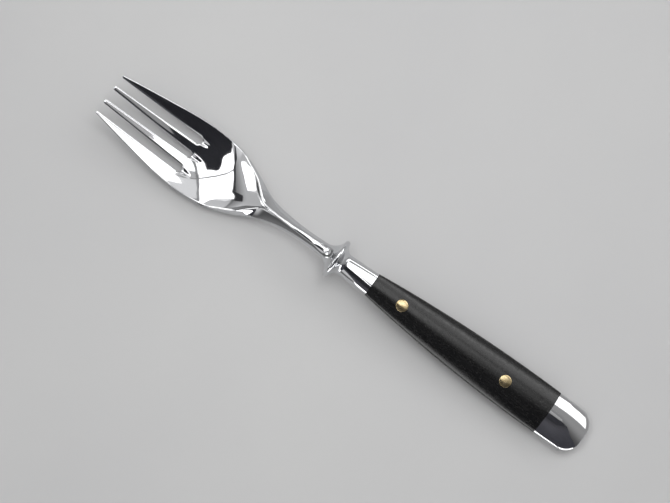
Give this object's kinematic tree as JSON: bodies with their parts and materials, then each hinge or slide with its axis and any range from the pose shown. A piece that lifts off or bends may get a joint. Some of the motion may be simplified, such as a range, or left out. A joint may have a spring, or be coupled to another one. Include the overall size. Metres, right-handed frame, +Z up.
{
  "type": "dinner fork",
  "caption": "Dinner fork with a forged steel head, dished bowl, slim neck and round collar, and a black riveted handle with brass rivets and a steel end cap.",
  "frame": {"origin": "on the table, under the middle of the fork's length and width", "axes": "+X from the tine tips to the butt, +Y across the fork, +Z up with the tines turned up"},
  "size_m": [0.205, 0.0264, 0.0179],
  "materials": {
    "forged_steel": "mirror-polished stainless steel",
    "cap_steel": "mirror-polished stainless steel",
    "black_hardwood": "satin black hardwood with fine pores",
    "rivet_brass": "polished flush with the scales"
  },
  "bodies": {
    "root": {"fork_forging": "forged_steel", "upper_scale": "black_hardwood", "lower_scale": "black_hardwood", "end_cap": "cap_steel", "front_rivet_stem": "rivet_brass", "front_rivet_sleeve": "rivet_brass", "rear_rivet_stem": "rivet_brass", "rear_rivet_sleeve": "rivet_brass"}
  },
  "joints": []
}
